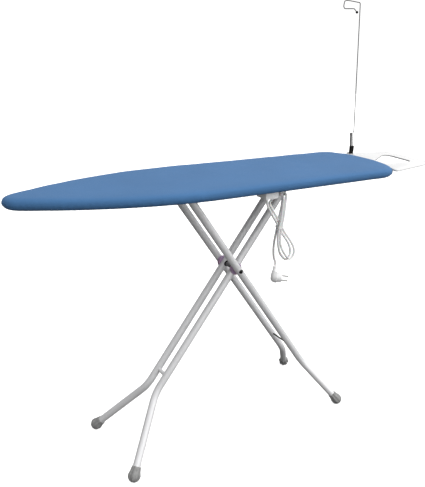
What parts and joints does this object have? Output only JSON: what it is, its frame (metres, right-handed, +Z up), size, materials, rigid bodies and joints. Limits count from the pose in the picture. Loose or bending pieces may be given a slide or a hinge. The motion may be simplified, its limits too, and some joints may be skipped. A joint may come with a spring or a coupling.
{
  "type": "ironing board",
  "caption": "Ironing board with a padded cover on a tube rim, crossed folding tube legs on a sliding axle, an iron rest, a wire cord holder and a socket box with cord and plug.",
  "frame": {"origin": "on the floor, under the middle of the whole length and width", "axes": "+X from the nose of the board towards the iron rest, +Y to the left, +Z up"},
  "size_m": [1.407, 0.3225, 1.3104],
  "materials": {
    "fabric": "matt woven cotton",
    "felt": "needled felt",
    "steel": "galvanised sheet",
    "leg": "silver-grey powder coat",
    "bolt": "bright zinc",
    "wire": "bright spring wire",
    "rest": "white powder coat",
    "white": "white moulded",
    "cord": "soft white sheath",
    "grey": "dark grey moulded",
    "black": "black moulded",
    "mauve": "translucent mauve",
    "rubber": "mid-grey rubber"
  },
  "bodies": {
    "board": {"fabric_cover": "fabric", "felt_pad": "felt", "deck_plate": "steel", "rim_frame": "steel", "hem_cord": "cord", "cord_lock": "black", "cross_bar_front": "steel", "cross_bar_middle": "steel", "cross_bar_rear": "steel", "cross_bar_tail_front": "steel", "cross_bar_tail_back": "steel", "height_rail_left": "steel", "height_rail_right": "steel", "rear_bracket": "steel", "latch_bracket": "steel", "rest_arm_left": "rest", "rest_arm_right": "rest", "rest_screw_left_front": "bolt", "rest_screw_left_back": "bolt", "rest_screw_right_front": "bolt", "rest_screw_right_back": "bolt", "iron_rest": "rest", "holder_clamp": "black", "clamp_screw": "black", "socket_bracket": "steel", "socket_housing": "white", "socket_insert": "white", "mains_cord": "cord", "cord_tie": "white", "strain_relief": "white", "plug_body": "white", "plug_pin_upper": "bolt", "plug_pin_lower": "bolt"},
    "cord_holder": {"holder_wire": "wire", "holder_sleeve": "grey", "holder_tip": "black"},
    "latch": {"latch_bar": "steel", "latch_shaft": "bolt", "release_lever": "black"},
    "leg_b": {"leg_b_tube_left": "leg", "leg_b_tube_right": "leg", "foot_b_left": "rubber", "foot_b_right": "rubber", "pivot_spacer_left": "mauve", "pivot_spacer_right": "mauve", "leg_b_axle": "bolt", "leg_b_brace": "leg", "pivot_sleeve": "grey", "pivot_washer": "black"},
    "leg_a": {"leg_a_tube_left": "leg", "leg_a_tube_right": "leg", "foot_a_left": "rubber", "foot_a_right": "rubber", "axle_cap_left": "black", "axle_cap_right": "black", "leg_a_axle": "bolt", "leg_a_brace": "grey", "pivot_bolt": "bolt", "pivot_nut": "bolt"}
  },
  "joints": [
    {"name": "leg_b_fold", "type": "hinge", "parent": "board", "child": "leg_b", "pos_m": [0.13396, 0, 0.782], "axis": [0, 1, 0], "range_deg": [-5.5, 50.5], "stiffness_Nm_per_rad": 2000, "springref_deg": -2.29},
    {"name": "leg_a_scissor", "type": "hinge", "parent": "leg_b", "child": "leg_a", "pos_m": [-0.048, 0, 0.5361], "axis": [0, 1, 0], "range_deg": [-101.5, 11.5]},
    {"name": "height_latch", "type": "hinge", "parent": "board", "child": "latch", "pos_m": [-0.0935, 0, 0.789], "axis": [0, 1, 0], "range_deg": [-3, 0]},
    {"name": "holder_lift", "type": "slide", "parent": "board", "child": "cord_holder", "axis": [0, 0, 1], "range_m": [0, 0.022]}
  ],
  "couplings": [
    {"joint": "leg_a_scissor", "follows": "leg_b_fold", "ratio": -2}
  ]
}
